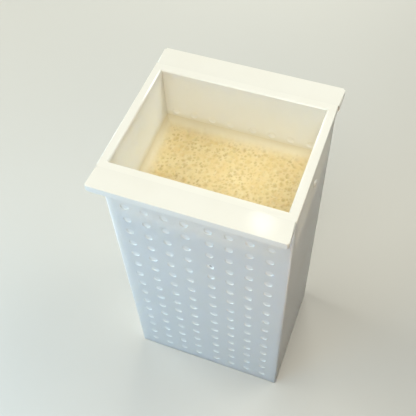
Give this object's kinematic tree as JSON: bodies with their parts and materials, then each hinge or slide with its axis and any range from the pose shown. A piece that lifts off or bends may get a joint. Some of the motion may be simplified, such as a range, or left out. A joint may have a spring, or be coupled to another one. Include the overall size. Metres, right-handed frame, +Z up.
{
  "type": "cheese mold",
  "caption": "Tall open box mold of white plastic sheet with drain holes in its front and back walls, hanging flanges at the rim and a drained block of yellow cheese inside.",
  "frame": {"origin": "middle of the base plate's underside, on the surface the mold stands on", "axes": "+Z up to the open rim, -Y to the front wall, +X to the right wall"},
  "size_m": [0.1014, 0.1, 0.2],
  "materials": {
    "mold_plastic": "smooth natural white polyethylene sheet, slightly translucent, soft sheen",
    "cheese": "moist pale yellow cheese with many small openings in its top"
  },
  "bodies": {
    "mold": {"front_wall": "mold_plastic", "back_wall": "mold_plastic", "left_wall": "mold_plastic", "right_wall": "mold_plastic", "base_plate": "mold_plastic", "front_flange": "mold_plastic", "back_flange": "mold_plastic", "left_stud": "mold_plastic", "right_stud": "mold_plastic"},
    "cheese": {"cheese_block": "cheese"}
  },
  "joints": [
    {"name": "cheese_lift", "type": "slide", "parent": "mold", "child": "cheese", "axis": [0, 0, 1], "range_m": [0, 0.2]}
  ]
}
